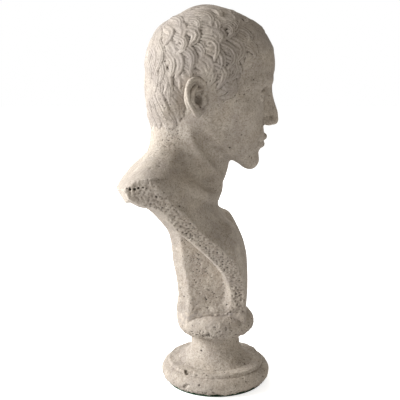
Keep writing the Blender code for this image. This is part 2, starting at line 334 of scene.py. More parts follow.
class Skin:
    """The meshed surface of a block of clay, for the carving that is finer than the clay."""

    def __init__(self, clay):
        self.points, self.quads = meshed(clay)
        self.smooth = self.points.copy()
        self.normals, _ = clay.slope(self.points)
        self.count = len(self.points)
        self.tree = None

    def near(self, point, reach):
        """Numbers of the points of the uncut surface within reach of a point."""
        if self.tree is None:
            self.tree = KDTree(self.count)
            for i, each in enumerate(self.smooth):
                self.tree.insert(each, i)
            self.tree.balance()
        return np.array([found[1] for found in self.tree.find_range(point, reach)], int)

    def push(self, height):
        self.points = self.points + self.normals * np.asarray(height)[:, None]

    def averaged(self, values, rounds):
        """Values averaged again and again with those of the neighbouring points."""
        start, end = np.concatenate([self.quads[:, [i, (i + 1) % 4]] for i in range(4)]).T
        share = np.bincount(start, minlength=self.count)
        for _ in range(rounds):
            around = [np.bincount(start, column[end], self.count) / share for column in values.T]
            values = 0.5 * values + 0.5 * np.stack(around, axis=1)
        return values

    def hollowness(self, rounds):
        """How far, in millimetres, each point lies below the average of its surroundings."""
        return np.sum((self.averaged(self.points, rounds) - self.points) * self.normals, axis=1)


def pit_skin(skin, rng, count, chance, sizes, depth):
    """Cuts ragged pits round points picked at random, in clusters. Returns how deep each point was cut."""
    clusters = np.clip(noise(skin.smooth, 16, 91) + 0.45, 0.05, 1.5)
    chance = np.maximum(chance, 0) * clusters
    seeds = rng.choice(skin.count, count, p=chance / chance.sum())
    cut = np.zeros(skin.count)
    warp = noise(skin.smooth, 1.8, 77)
    for seed in seeds:
        radius = sizes[0] + (sizes[1] - sizes[0]) * rng.random() ** 2.5
        found = skin.near(skin.smooth[seed], radius * 1.9)
        away = skin.smooth[found] - skin.smooth[seed]
        stretch = unit(rng.standard_normal(3))
        span = np.sum(away**2, axis=1) * 1.5 - 1.1 * (away @ stretch) ** 2
        share = np.sqrt(np.maximum(span, 0)) / radius + 0.4 * warp[found]
        deep = depth * rng.uniform(0.5, 1.0) * np.clip(1.5 * (1 - share), 0, 1)
        cut[found] = np.maximum(cut[found], deep)
    skin.push(-cut)
    return cut


def mesh_piece(name, skin, material, masks):
    """Makes the piece's object, with each mask (a value per point) as a vertex attribute."""
    mesh = bpy.data.meshes.new(name)
    mesh.vertices.add(skin.count)
    mesh.vertices.foreach_set("co", (skin.points * MM).astype(np.float32).ravel())
    mesh.loops.add(skin.quads.size)
    mesh.loops.foreach_set("vertex_index", skin.quads.ravel().astype(np.int32))
    mesh.polygons.add(len(skin.quads))
    mesh.polygons.foreach_set("loop_start", np.arange(0, skin.quads.size, 4, dtype=np.int32))
    mesh.polygons.foreach_set("use_smooth", np.ones(len(skin.quads), bool))
    mesh.update(calc_edges=True)
    for label, values in masks.items():
        layer = mesh.attributes.new(label, "FLOAT", "POINT")
        layer.data.foreach_set("value", np.asarray(values, np.float32))
    mesh.materials.append(material)
    piece = bpy.data.objects.new(name, mesh)
    bpy.context.scene.collection.objects.link(piece)
    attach(piece, "root")
    return piece


# ---------------- the bust's masses
# Height, front centre line, how far the front falls back towards the rim, thickness.
CHEST = (
    (100, -45.5, 3, 19), (125, -46.8, 4, 20), (145, -48.2, 6, 20), (165, -48.2, 9, 21), (185, -47.3, 14, 23),
    (208, -44.5, 23, 28), (233, -33.5, 32, 31), (258, -10.5, 34, 31), (283, 4.0, 39, 30), (303, 9.0, 54, 26),
    (318, 26.0, 50, 22),
)
CHEST_CROWN = 2.2  # the power by which the front falls back towards the rim
RIM_BEVEL = 9.0  # how far the sawn rim's back edge is bevelled
# Height and half width of the outline that the block is sawn to, seen from the front.
SAWN = (
    (100, 38), (125, 41.5), (145, 47), (165, 57), (185, 70), (208, 87), (233, 103.5), (258, 117.5),
    (283, 127.5), (306, 132.5), (330, 131), (600, 131),
)
# Height, front, back, half width, where it is widest, for the shoulders.
SHOULDERS = (
    (262, 60, 126, 60, 90), (272, 44, 138, 92, 88), (282, 26, 146, 124, 88), (291, 14, 148, 144, 88),
    (299, 8, 147, 156, 88), (308, 6, 142, 160, 88), (317, 10, 135, 157, 86), (325, 18, 127, 143, 82),
    (332, 24, 117, 118, 76), (340, 28, 107, 94, 70), (350, 28, 98, 72, 64), (362, 28, 90, 54, 60),
    (378, 28, 84, 38, 57),
)
# Height, front, back, half width of the neck.
NECK = (
    (262, 10, 66, 36), (283, -1, 88, 47), (306, -10, 98, 53), (324, -16, 99, 55), (348, -21, 97, 56),
    (380, -27, 95, 56), (410, -32, 93, 55), (430, -33, 88, 51), (446, -30, 76, 42), (460, -20, 60, 26),
)
# Height, front, back, half width of the strut behind the chest.
STRUT = (
    (100, -30, 58.8, 38.5), (119, -30, 58.3, 37.5), (124, -30, 57.2, 35), (158, -30, 58.5, 33),
    (195, -30, 64.5, 32), (220, -28, 67.5, 33), (236, -20, 71.5, 37), (249, -8, 79.0, 45),
    (261, 8, 87.5, 52), (271, 22, 96.0, 59), (280, 34, 106.0, 67), (290, 44, 115.0, 75),
)


def table_window(clay, table, margin=0.0):
    """The samples between a table's lowest and highest heights, and the table's columns there."""
    low, high = clay.low.copy(), clay.low + STEP * clay.count
    low[2], high[2] = table[0][0] - margin, table[-1][0] + margin
    slices, lines = clay.window(low, high)
    columns = [curve(table, i, lines[2]) for i in range(1, len(table[0]))]
    return slices, lines, columns


def add_chest(clay):
    """A curved plate: a crowned front and a hollowed back, running out to the sawn rim."""
    slices, (x, y, z), (front, fall, thick) = table_window(clay, CHEST, 6.0)
    across = np.abs(x) / curve(SAWN, 1, z)
    face = front + fall * across**CHEST_CROWN
    slope = np.gradient(face[:, 0, :], STEP)
    steep = np.sqrt(1 + slope[0] ** 2 + slope[1] ** 2)[:, None, :]
    bevel = ramp(266 - z, 30) * RIM_BEVEL
    back = (y - face - thick - bevel) / steep
    plate = blended_max((face - y) / steep, back, 3.0)
    plate = blended_max(plate, (np.abs(x) - curve(SAWN, 1, z) + back + bevel) / math.sqrt(2), 1.5)
    plate = blended_max(plate, z - CHEST[-1][0], 3.0)
    clay.add(slices, plate, 4.0)


def oval_stack(x, y, half, front, back, widest, front_power, back_power):
    """Horizontal ovals whose front and back halves have their own depth and roundness."""
    ahead = np.maximum(widest - y, 0) / (widest - front)
    behind = np.maximum(y - widest, 0) / (back - widest)
    across = np.abs(x) / half
    near = np.where(y < widest, (across**front_power + ahead**front_power) ** (1 / front_power),
                    (across**back_power + behind**back_power) ** (1 / back_power))
    return evened((near - 1) * np.minimum(half, back - front))


def add_neck(clay):
    soft = 16.0
    slices, (x, y, z), (front, back, half) = table_window(clay, NECK, soft + 2 * STEP)
    neck = oval_stack(x, y, half, front, back, (front + back) / 2, 2.1, 2.05)
    neck = blended_max(neck, np.maximum(NECK[0][0] - z, z - NECK[-1][0]), 3.0)
    clay.add(slices, neck, soft)


def add_shoulders(clay):
    """A slab that slopes down from the neck and ends behind in a sawn edge."""
    soft = 10.0
    slices, (x, y, z), (front, back, half, widest) = table_window(clay, SHOULDERS, soft + 2 * STEP)
    slab = oval_stack(x, y, half, front, back, widest, 1.4, 2.9)
    out = (x / 120.0) ** 2
    # The sawn face behind leans by 30 degrees, and swings forward and up towards the shoulders' tips.
    rear_face = (y - 142.4 + 13.5 * out) * 0.866 - (z - 298.4 - 20.5 * out) * 0.5
    underside = 281.0 + 21.0 * out - z
    slab = blended_max(slab, np.maximum(rear_face, underside), 1.5)
    slab = blended_max(slab, z - SHOULDERS[-1][0], 3.0)
    clay.add(slices, slab, soft)


def add_strut(clay):
    """A squared post with slanted back corners, flaring into the back above and into a lip below."""
    slices, (x, y, z), (front, back, half) = table_window(clay, STRUT, 12.0)
    corner = np.minimum(17.0, half * 0.5)
    side, rear = np.abs(x) - half, y - back
    post = blended_max(side, rear, 1.5)
    post = blended_max(post, (side + rear + corner) / math.sqrt(2), 2.0)
    post = blended_max(evened(np.maximum(post, front - y)), z - STRUT[-1][0] + 0 * x, 6.0)
    clay.add(slices, post, 9.0)


def saw_outline(clay):
    """Cuts the block to its outline and returns how far each sample is from the cut."""
    x, y, z = clay.lines
    half = curve(SAWN, 1, z)
    lean = np.sqrt(1 + np.gradient(half.ravel(), STEP) ** 2).reshape(1, 1, -1)
    gap = (np.abs(x) - half) / lean + 0 * y
    front_edge = 43 + 0.95 * (z - 286) - 1.3 * (131 - np.abs(x))
    bevel = (front_edge - y) / 1.9 - np.maximum(284 - z, 0) - 3 * np.maximum(z - 330, 0)
    clay.field[...] = blended_max(clay.field, bevel, 6.5)
    clay.field[...] = blended_max(clay.field, gap, 1.8)
    return gap


def add_torso(clay):
    add_chest(clay)
    add_shoulders(clay)
    add_neck(clay)
    add_strut(clay)
    neck_cord = ((44, 41, 396, 5), (41, 17, 350, 6), (24, 5, 308, 7), (11, 5, 292, 5))
    collarbone = ((13, 5, 285, 5), (45, 11, 292, 5.5), (82, 33, 306, 6), (108, 62, 318, 5))
    nape_cord = ((20, 60, 388, 11), (31, 69, 352, 12), (76, 87, 321, 12), (118, 96, 311, 11))
    for half in PLAIN.halves():
        add_cord(clay, half, neck_cord, 13.0)
        add_cord(clay, half, collarbone, 10.0)
        add_cord(clay, half, nape_cord, 26.0)
        add_ball(clay, half, (58, 4, 316), (20, 14, 9), 14.0, cut=True)  # hollow above the collarbone
        add_ball(clay, half, (42, -16, 221), (40, 12, 31), 16.0)  # breast muscle
    add_ball(clay, PLAIN, (0, -16, 290), (9, 9, 9), 8.0, cut=True)  # throat pit
    breastbone = ((0, -20, 268, 4), (0, -43, 235, 4), (0, -56, 190, 3))
    windpipe = ((0, -5, 352, 11), (0, 0, 318, 8))
    add_cord(clay, PLAIN, breastbone, 12.0, cut=True)
    add_cord(clay, PLAIN, windpipe, 8.0)


# ---------------- the head
# Head details are (side, front, up) in millimetres from the middle of the skull at eye height.
HEAD_PLACE = (0.0, 8.0, 445.5)
HEAD_SCALE = 0.97
HEAD_PITCH = math.radians(9.0)
HEAD_TURN = math.radians(5.0)
# Up, front, half width, where it is widest (front), roundness of the section.
FACE = (
    (-117, 70, 14, 34, 2.0), (-112, 79, 24, 24, 2.0), (-104, 84, 33, 12, 2.0), (-92, 85, 43, 2, 2.0),
    (-78, 86, 50.5, -4, 2.05), (-62, 87, 55.5, -4, 2.1), (-46, 86, 60, -4, 2.2), (-30, 84, 64, -4, 2.25),
    (-12, 83, 67.5, -4, 2.3), (6, 84, 69, -4, 2.3), (24, 87, 69, -4, 2.25), (40, 87, 66, -4, 2.2),
    (56, 80, 60, -4, 2.1), (70, 68, 50, -4, 2.0), (82, 52, 36, -4, 2.0),
)
FACE_MIDDLE = (0, 40, -30)
FACE_RADIUS = 108  # of a ball round the middle that holds all of it
FACE_REACH = 46.0  # how far the face's mass runs back from its widest place, inside the skull and the neck


def head_axes():
    """Rows are the head's side, front and up directions."""
    down, level = math.sin(HEAD_PITCH), math.cos(HEAD_PITCH)
    aside, ahead = math.sin(HEAD_TURN), math.cos(HEAD_TURN)
    turn = np.array(((ahead, -aside, 0), (aside, ahead, 0), (0, 0, 1)))
    rows = [turn @ row for row in ((1, 0, 0), (0, -level, -down), (0, -down, level))]
    return Axes(HEAD_PLACE, rows, HEAD_SCALE)


def add_face_mass(clay, head):
    """Jaw, cheeks and forehead as stacked half-ovals, sliced along the jaw's lower edge."""

    def shape(side, front, up):
        up = up + FACE_MIDDLE[2]
        front = front + FACE_MIDDLE[1]
        tip, half, widest, power = (curve(FACE, i, up) for i in (1, 2, 3, 4))
        away = np.where(front > widest, (front - widest) / (tip - widest), (widest - front) / FACE_REACH)
        near = ((np.abs(side) / half) ** power + away**power + 1e-6) ** (1 / power)
        mass = evened((near - 1) * half)
        jaw_edge = (-115 - up + 0.42 * (78 - front)) / 1.08
        mass = blended_max(mass, jaw_edge, 9.0)
        return blended_max(mass, up - FACE[-1][0], 6.0)

    stamp(clay, head, FACE_MIDDLE, FACE_RADIUS, shape, 8.0)


def add_skull(clay, head):
    add_ball(clay, head, (0, -7, 34), (71, 89.5, 78.5), 8.0)
    add_ball(clay, head, (0, -29, 22), (67, 69, 67), 10.0)
    add_ball(clay, head, (0, 30, 47), (60, 57, 49), 12.0)
    add_ball(clay, head, (0, -55, -20), (52, 36, 48), 14.0)


def add_face(clay, head):
    brow = ((7, 79.5, 19, 6), (26, 75, 25, 6), (44, 64, 22, 6), (57, 46, 11, 5))
    under_jaw = ((61, -10, -68, 5), (51, 16, -93, 7), (32, 44, -113, 8), (12, 62, -124, 8))
    for half in head.halves():
        add_ball(clay, half, (77, 46, 28), (10, 22, 22), 16.0, cut=True)  # temple
        add_cord(clay, half, brow, 9.0)
        add_ball(clay, half, (31, 88, 1), (19, 16, 12), 7.0, swing=-16, cut=True)  # orbit
        add_ball(clay, half, (16, 88, 2), (7, 12, 9), 6.0, cut=True)  # inner corner
        add_ball(clay, half, (43, 40, -28), (19, 21, 18), 20.0, swing=-30)  # cheekbone
        add_cord(clay, half, under_jaw, 12.0, cut=True)
    add_eyes(clay, head)
    add_nose(clay, head)
    add_mouth(clay, head)


def upper_lid(side, front, up):
    edge = 6.4 * (1 - (side / 15.5) ** 2) - 0.8 - 0.05 * side
    return np.maximum(np.sqrt(side**2 + front**2 + up**2) - 14.2, (edge - up) * 0.9)


def lower_lid(side, front, up):
    edge = -5.2 * (1 - (side / 15.5) ** 2) - 0.8
    return np.maximum(np.sqrt(side**2 + front**2 + up**2) - 13.6, (up - edge) * 0.9)


def add_eyes(clay, head):
    """Blank eyeballs under an upper and a lower lid with an almond-shaped opening."""
    eye = (31, 65.0, 0)
    crease = ((17, 75, 5, 1.0), (24, 77, 10.5, 1.2), (34, 76.5, 11, 1.2), (44, 70, 6, 1.0))
    for half in head.halves():
        add_ball(clay, half, eye, (12.2, 12.2, 12.2), 1.0)
        stamp(clay, half, eye, 15, upper_lid, 1.2)
        stamp(clay, half, eye, 15, lower_lid, 1.2)
        add_cord(clay, half, crease, 2.5, cut=True)


def add_nose(clay, head):
    ridge = (
        (0, 80, 24, 5.5), (0, 83.5, 11, 4.8), (0, 89.5, -5, 4.8), (0, 96.5, -20, 5.4), (0, 101, -32, 6.2),
    )
    core = ((0, 76, 6, 7), (0, 80.5, -14, 8.5), (0, 86, -33, 10))
    groove = ((17.5, 89, -33, 1.2), (20.5, 87, -42, 1.4), (27, 81, -54, 1.2))
    add_cord(clay, head, ridge, 7.0)
    add_cord(clay, head, core, 6.0)
    add_ball(clay, head, (0, 102, -35), (7.2, 7, 6.5), 4.0)
    for half in head.halves():
        add_ball(clay, half, (10.2, 92, -37.5), (4.8, 9.5, 5.8), 3.0, swing=-14)  # wing
        add_ball(clay, half, (5.8, 96.5, -44), (3.0, 6, 3.2), 1.4, swing=-18, cut=True)  # nostril
        add_cord(clay, half, groove, 6.0, cut=True)


def add_mouth(clay, head):
    philtrum = ((0, 95.5, -49, 2.0), (0, 97, -57, 2.2))
    add_ball(clay, head, (0, 74, -66), (29, 17, 22), 10.0)  # the mound of the teeth
    add_cord(clay, head, philtrum, 3.0, cut=True)
    upper = ((0, 90.5, -61.8, 4.4), (7, 90, -60.6, 4.8), (16, 85.5, -63.5, 3.8), (24, 79, -67.5, 2.4))
    lower = ((0, 87.5, -72.5, 6.0), (9, 87, -72.5, 5.6), (17, 83, -71, 4.2), (23, 79, -69, 2.6))
    line = ((0, 95.5, -66.8, 1.5), (8, 94.6, -66.0, 1.5), (17, 89.8, -67.4, 1.3), (24.5, 84.5, -68.6, 0.9))
    for half in head.halves():
        add_cord(clay, half, upper, 1.5)
        add_cord(clay, half, lower, 1.5)
        add_ball(clay, half, (27, 83, -68.5), (3, 3, 3), 5.0, cut=True)  # corner
        add_cord(clay, half, line, 0.8, cut=True)
    add_ball(clay, head, (0, 97, -84.5), (16, 8, 5), 7.0, cut=True)  # hollow under the lip
    add_ball(clay, head, (0, 77, -99), (18, 13, 13), 8.0)  # chin


# ---------------- ears
EAR_PLACE = (70.5, -24, -15)
EAR_SCALE = 0.88
# Outlines on the ear's own plane: back, up, out, radius.
HELIX = (
    (-4, -3, -2, 2.2), (-11, 3, 0, 2.8), (-14, 12, 1, 3.3), (-10, 22.5, 1, 3.5), (0, 28, 1.2, 3.7),
    (11, 26.5, 1.6, 3.8), (17.5, 17.5, 1.8, 3.7), (18, 5, 1.8, 3.4), (15, -7, 1.6, 3.2), (9, -17, 1.2, 3.3),
    (3, -24, 0, 4.0),
)
ANTIHELIX = ((2, -14, 0.5, 3.2), (8, -9, 0.6, 3.4), (9.5, 0, 0.6, 3.5), (8, 9, 0.4, 3.4), (2, 17, -0.6, 2.8))
UPPER_CRUS = ((8, 8, 0.2, 2.8), (2, 10.5, -0.6, 2.6), (-6, 11.5, -1, 2.2))


def add_ear(clay, half):
    """The ear stands off the skull at its back edge and leans back a little."""
    lean, flare = math.radians(7), math.radians(20)
    up = np.array((0, -math.sin(lean), math.cos(lean)))
    out = np.array((math.cos(flare), math.sin(flare), 0))
    out = unit(out - up * (out @ up))
    back = unit(np.cross(out, up))
    ear = half.inner(EAR_PLACE, (back, up, out), EAR_SCALE)
    add_ball(clay, ear, (2.5, 2, -3.5), (19, 29.5, 6.5), 3.0)  # plate
    add_ball(clay, ear, (3, 1, -10), (14, 23, 12), 5.0)  # its root on the skull
    add_ball(clay, ear, (1.5, 1, 3.8), (14.5, 23.5, 7.6), 1.0, cut=True)  # dish within the rim
    add_cord(clay, ear, HELIX, 0.8, count=26)
    add_cord(clay, ear, ANTIHELIX, 1.5, count=12)
    add_cord(clay, ear, UPPER_CRUS, 1.5, count=8)
    add_ball(clay, ear, (-2, -25, -0.5), (8, 8.5, 4.5), 3.0)  # lobe
    add_ball(clay, ear, (-2, -5, 0), (7, 9.5, 7.5), 1.5, cut=True)  # concha
    add_ball(clay, ear, (-12.5, -6, 0), (4.5, 7.5, 4.5), 2.0)  # tragus
    add_ball(clay, ear, (1, -15, 1), (4, 3.5, 3.5), 2.0)  # antitragus


# ---------------- hair
SKULL_MIDDLE = np.array((0.0, -12.0, 25.0))
WHORL = unit((0.06, -0.62, 0.78))  # direction from there of the crown that the hair leaves from
# The edge of the hair on the side of the head, from the forehead down to the nape: front, up.
HAIRLINE = (
    (120, 82), (84, 78), (66, 75), (50, 65), (34, 57), (24, 46), (22, 30), (22, 12), (21, -6), (16, -14),
    (7, -15), (0, 0), (-8, 15), (-24, 18), (-38, 2), (-43, -20), (-46, -42), (-58, -58), (-84, -66),
    (-130, -72),
)
SKULL_RADIUS = 92.0  # of the ball that the roots of the locks are spread over
RING_COUNT = 10
RING_STEP = 24.0  # from one ring of locks to the next
LOCK_SPACING = 12.5  # from one lock to the next in its ring
LOCK_LENGTH = (48, 68)  # shortest and longest
LOCK_WIDTH = (7.0, 10.0)
LOCK_RISE = (3.0, 4.8)
LOCK_STRANDS = (2.0, 3.0, 4.0)
LOCK_STEPS = 9  # points along each lock


def hair_depth(local):
    """How far each point (side, front, up) lies inside the hairline; negative outside it."""
    line = np.array(HAIRLINE, float)
    flat = local[:, 1:]
    nearest = np.full(len(local), 1e9)
    inside = np.zeros(len(local), bool)
    for start, end in zip(line, line[1:]):
        along = end - start
        t = np.clip((flat - start) @ along / (along @ along), 0, 1)
        nearest = np.minimum(nearest, np.linalg.norm(flat - start - t[:, None] * along, axis=1))
        spans = (start[0] > flat[:, 0]) != (end[0] > flat[:, 0])
        height = start[1] + (flat[:, 0] - start[0]) * along[1] / (along[0] if along[0] else 1.0)
        inside ^= spans & (flat[:, 1] > height)
    return np.where(inside, nearest, -nearest)


def to_head(head, points):
    return (points - head.origin) @ head.rows.T / head.scale


def flow(head, points, normals, turn):
    """Directions in which the hair lies: away from the whorl, turned in the surface by an angle."""
    away = (to_head(head, points) - SKULL_MIDDLE) @ head.rows
    whorl = WHORL @ head.rows
    along = away * (away @ whorl)[:, None] / np.sum(away**2, axis=1, keepdims=True) - whorl
    along -= normals * np.sum(along * normals, axis=1, keepdims=True)
    along /= np.linalg.norm(along, axis=1, keepdims=True)
    across = np.cross(normals, along)
    return along * np.cos(turn)[:, None] + across * np.sin(turn)[:, None]


def lock_roots(head, scalp, rng):
    """Points in rings around the whorl, settled on the scalp."""
    first = unit(np.cross(WHORL, (1, 0, 0)))
    second = np.cross(WHORL, first)
    roots = []
    for ring in range(RING_COUNT):
        polar = math.radians(4.0) + ring * RING_STEP / SKULL_RADIUS
        count = max(3, round(math.tau * SKULL_RADIUS * math.sin(polar) / LOCK_SPACING))
        for i in range(count):
            angle = (i + 0.5 * (ring % 2) + rng.uniform(-0.22, 0.22)) * math.tau / count
            tilt = polar + rng.uniform(-0.03, 0.03)
            spoke = first * math.cos(angle) + second * math.sin(angle)
            roots.append(SKULL_MIDDLE + SKULL_RADIUS * (WHORL * math.cos(tilt) + spoke * math.sin(tilt)))
    roots = scalp.settle(head.out(np.array(roots)), 0.0)
    depth = hair_depth(to_head(head, roots))
    return roots[depth > 6.0]


def lock_paths(head, scalp, roots, rng):
    """Centre lines of the locks, as waved and hooked curves on the scalp, with their normals."""
    count = len(roots)
    local = to_head(head, roots)
    side = np.where(local[:, 0] < 0, -1.0, 1.0)
    behind = ramp(-local[:, 1] - 20, 40)
    length = rng.uniform(*LOCK_LENGTH, count)
    lean = 0.35 * noise(roots, 52, 3) + rng.normal(0, 0.07, count)
    wave = 0.65 + 0.3 * noise(roots, 40, 4)
    hook = side * (0.75 + 0.7 * noise(roots, 34, 6)) * (1 - 0.75 * behind) + rng.normal(0, 0.16, count)
    points = [roots]
    normals = [scalp.slope(roots)[0]]
    for k in range(LOCK_STEPS - 1):
        t = k / (LOCK_STEPS - 2)
        turn = lean + wave * math.sin(math.tau * t * 0.85) + hook * max(0.0, t - 0.35) ** 1.5 * 2.0
        ahead = points[-1] + flow(head, points[-1], normals[-1], turn) * (length / (LOCK_STEPS - 1))[:, None]
        ahead = scalp.settle(ahead, 0.0)
        points.append(ahead)
        normals.append(scalp.slope(ahead)[0])
    return np.stack(points, axis=1), np.stack(normals, axis=1), length


def ended_at_hairline(head, path, normals, limit):
    """A lock's line and normals up to where it passes the hairline by more than the limit."""
    past = np.flatnonzero(hair_depth(to_head(head, path)) < limit)
    last = max(past[0], 3) if len(past) else len(path) - 1
    at = np.linspace(0, last, len(path))
    i = np.minimum(at.astype(int), len(path) - 2)
    t = (at - i)[:, None]
    return path[i] * (1 - t) + path[i + 1] * t, normals[i] * (1 - t) + normals[i + 1] * t


def lock_height(points, path, normals, width, strands, phase, lift):
    """Height of one lock over each point, and -1 where the lock doesn't reach."""
    gap = np.full(len(points), 1e9)
    along = np.zeros(len(points))
    across = np.zeros(len(points))
    for k in range(len(path) - 1):
        line = path[k + 1] - path[k]
        normal = normals[k] + normals[k + 1]
        lateral = unit(np.cross(normal, line))
        away = points - path[k]
        t = np.clip(away @ line / (line @ line), 0, 1)
        rest = away - t[:, None] * line
        b = rest @ lateral
        beyond = rest @ unit(line)
        span = np.hypot(b, beyond)
        closer = span < gap
        gap = np.where(closer, span, gap)
        along = np.where(closer, (k + t) / (len(path) - 1), along)
        across = np.where(closer, np.copysign(span, b), across)
    swell = np.interp(along, (0, 0.12, 0.4, 0.75, 1), (0.35, 0.8, 1.0, 0.74, 0.24))
    share = across / (width * swell)
    rise = np.interp(along, (0, 0.3, 0.75, 0.95, 1), (0.2, 0.95, 1.2, 0.9, 0.3)) * lift
    dome = np.sqrt(np.clip(1 - share**2, 0, 1))
    lines = 0.5 - 0.5 * np.cos(math.pi * (strands * share + phase))
    cut = np.minimum(1, dome * 1.6) * ramp(width * swell - 2, 4)
    height = rise * (0.2 + 0.8 * dome) - lines * cut
    return np.where(np.abs(share) < 1, height, -1.0)


def comb_hair(skin, head, scalp):
    """Raises the hair's locks over the scalp. Returns how hairy each point is."""
    rng = np.random.default_rng(5)
    roots = lock_roots(head, scalp, rng)
    paths, normals, lengths = lock_paths(head, scalp, roots, rng)
    local = to_head(head, skin.smooth)
    off_scalp = np.abs(scalp.sample(skin.smooth))
    clear_of_ear = np.clip(1.6 - off_scalp, 0, 1)
    depth = hair_depth(local)
    depth = np.where((local[:, 2] > -90) & (clear_of_ear > 0), depth, -20.0)
    base = ramp(depth, 14.0)
    base = base * base * (3 - 2 * base)
    height = np.full(skin.count, -1.0)
    for path, normal, length in zip(paths, normals, lengths):
        path, normal = ended_at_hairline(head, path, normal, rng.uniform(-9, -3))
        width = rng.uniform(*LOCK_WIDTH)
        strands = rng.choice(LOCK_STRANDS)
        phase = rng.uniform(0, 2)
        middle = path[LOCK_STEPS // 2]
        found = skin.near(middle, length * 0.62 + width)
        found = found[depth[found] > -18]
        if len(found):
            lift = rng.uniform(*LOCK_RISE)
            rise = lock_height(skin.smooth[found], path, normal, width, strands, phase, lift)
            height[found] = np.maximum(height[found], rise)
    covered = height > 0
    inside = ramp(depth + 16, 8.0)
    worn = (0.6 + 0.4 * ramp(depth + 4, 14.0)) * (1 - 0.1 * ramp(local[:, 1] - 35, 40))
    worn *= 0.85 + 0.25 * noise(skin.smooth, 30, 8)
    full = np.where(covered, height * worn, 0.6 * base) + 0.6 * base
    skin.push(full * inside * clear_of_ear)
    return np.maximum(base, covered * inside) * clear_of_ear


# ---------------- assembling the bust
# Holes in the sawn rim at the right shoulder's tip: back, up, radius.
DRILLED_ROW = ((98, 321, 1.3), (104, 320, 1.8), (109, 318.5, 2.2), (115, 318, 1.7), (119, 319.5, 1.3))


def carve_bust():
    """The block, the scalp under the hair, each sample's distance from the sawn rim, and the head's axes."""
    low, high = box_mm("bust")
    clay = Clay((low[0] - 8, low[1] - 8, low[2] - 6), (high[0] + 8, high[1] + 8, high[2] + 8))
    head = head_axes()
    add_torso(clay)
    add_skull(clay, head)
    add_face_mass(clay, head)
    add_face(clay, head)
    saw = saw_outline(clay)
    for back, up, size in DRILLED_ROW:
        add_ball(clay, PLAIN, (-131, back, up), (3.5, size, size * 0.8), 0.8, cut=True)
    scalp = Clay(clay.low, clay.low + STEP * (clay.count - 1))
    scalp.field = clay.field.copy()
    for half in head.halves():
        add_ear(clay, half)
    x, y, z = clay.lines
    clay.trim(low[2] - z)
    clay.trim(-np.maximum(np.hypot(x, y) - GROUT_HOLE_RADIUS, z - GROUT_HOLE_TOP))
    return clay, scalp, saw, head


def wear_bust(skin, head, saw, clay):
    """Weathers the marble: lumps, coarse sawn and chiselled faces, pits. Returns the pit and rough masks."""
    rng = np.random.default_rng(21)
    points = skin.smooth
    local = to_head(head, points)
    face = ramp(local[:, 1] - 30, 25) * (local[:, 2] > -125) * (local[:, 2] < 60)
    sawn = np.clip(1.6 - np.abs(clay.sample(points, saw)), 0, 1) * (points[:, 2] < 345)
    x, y, z = points.T
    chest_front = curve(CHEST, 1, z) + curve(CHEST, 2, z) * (np.abs(x) / curve(SAWN, 1, z)) ** CHEST_CROWN
    dressed = ramp(y - chest_front - 14, 8) * ramp(292 - z, 14) * (1 - sawn)
    side_face = dressed * ramp(np.abs(skin.normals[:, 0]) - 0.6, 0.25)
    foot = ramp(135 - z, 16)
    rough = np.clip(sawn + 0.55 * dressed + 0.6 * foot, 0, 1)
    skin.push(0.28 * rough_noise(points, 20, 31) * (1 - 0.6 * face))
    skin.push(0.3 * rough * rough_noise(points, 7.0, 34, 2))
    skin.push(0.18 * side_face * noise(points, 4.0, 38))
    grain = sawn * (0.3 + 0.7 * ramp(308 - z, 22))
    skin.push((0.6 * grain + 0.25 * rough) * noise(points, 2.6, 49))
    skin.push(-0.9 * grain * np.clip(noise(points, 3.6, 45) - 0.25, 0, 1))
    nape = ramp(-local[:, 1] - 20, 30) * ramp(-local[:, 2] - 55, 20) * ramp(local[:, 2] + 150, 30)
    open_stone = 1.1 * grain + 0.8 * side_face
    holes = pit_skin(skin, rng, 260, 0.06 + open_stone + 0.8 * foot + 0.3 * nape, (1.0, 2.5), 1.2)
    pores = pit_skin(skin, rng, 2000, 0.35 + open_stone + 1.1 * nape, (0.7, 1.4), 0.8)
    return np.maximum(holes, pores), rough


# ---------------- the turned pieces
SOCLE_BOTTOM, SOCLE_TOP = (corner[2] for corner in box_mm("socle"))
CUSHION_BOTTOM, CUSHION_TOP = (corner[2] for corner in box_mm("cushion"))
CUSHION_MIDDLE = (CUSHION_BOTTOM + CUSHION_TOP) / 2
CUSHION_HALF_HEIGHT = (CUSHION_TOP - CUSHION_BOTTOM) / 2
CUSHION_FLAT = 37.0  # radius of its flat top and underside
CUSHION_BULGE = 21.5  # how far its round side stands out past them
MORTAR_BITE = 1.1  # how deep the mortar keys into the worn face under it
ROD_HOLE_RADIUS = 6.5
COUNTERBORE_RADIUS = 18.0
COUNTERBORE_DEPTH = 18.0
RIM_HALF_HEIGHT = 12.5  # of the socle's round bottom moulding


def arc(centre_r, centre_z, radius_r, radius_z, start, end, count=24):
    """(height, radius) rows of an elliptic arc, angles in degrees from the outside."""
    angles = np.radians(np.linspace(start, end, count))
    return np.stack([centre_z + radius_z * np.sin(angles), centre_r + radius_r * np.cos(angles)], axis=1)


def socle_outline():
    """Rounded bottom moulding, fillet, hollow and waist, from the bottom up."""
    return np.vstack([
        arc(71, SOCLE_BOTTOM + RIM_HALF_HEIGHT, 11.5, RIM_HALF_HEIGHT, -88, 80),
        [(31.2, 71.8), (33.0, 71.0)],
        arc(70, 63.5, 33.6, 32.0, 266, 186),
        [(66.0, 36.4), (SOCLE_TOP, 36.8)],
    ])


def cushion_outline():
    return arc(CUSHION_FLAT, CUSHION_MIDDLE, CUSHION_BULGE, CUSHION_HALF_HEIGHT, -90, 90, 40)


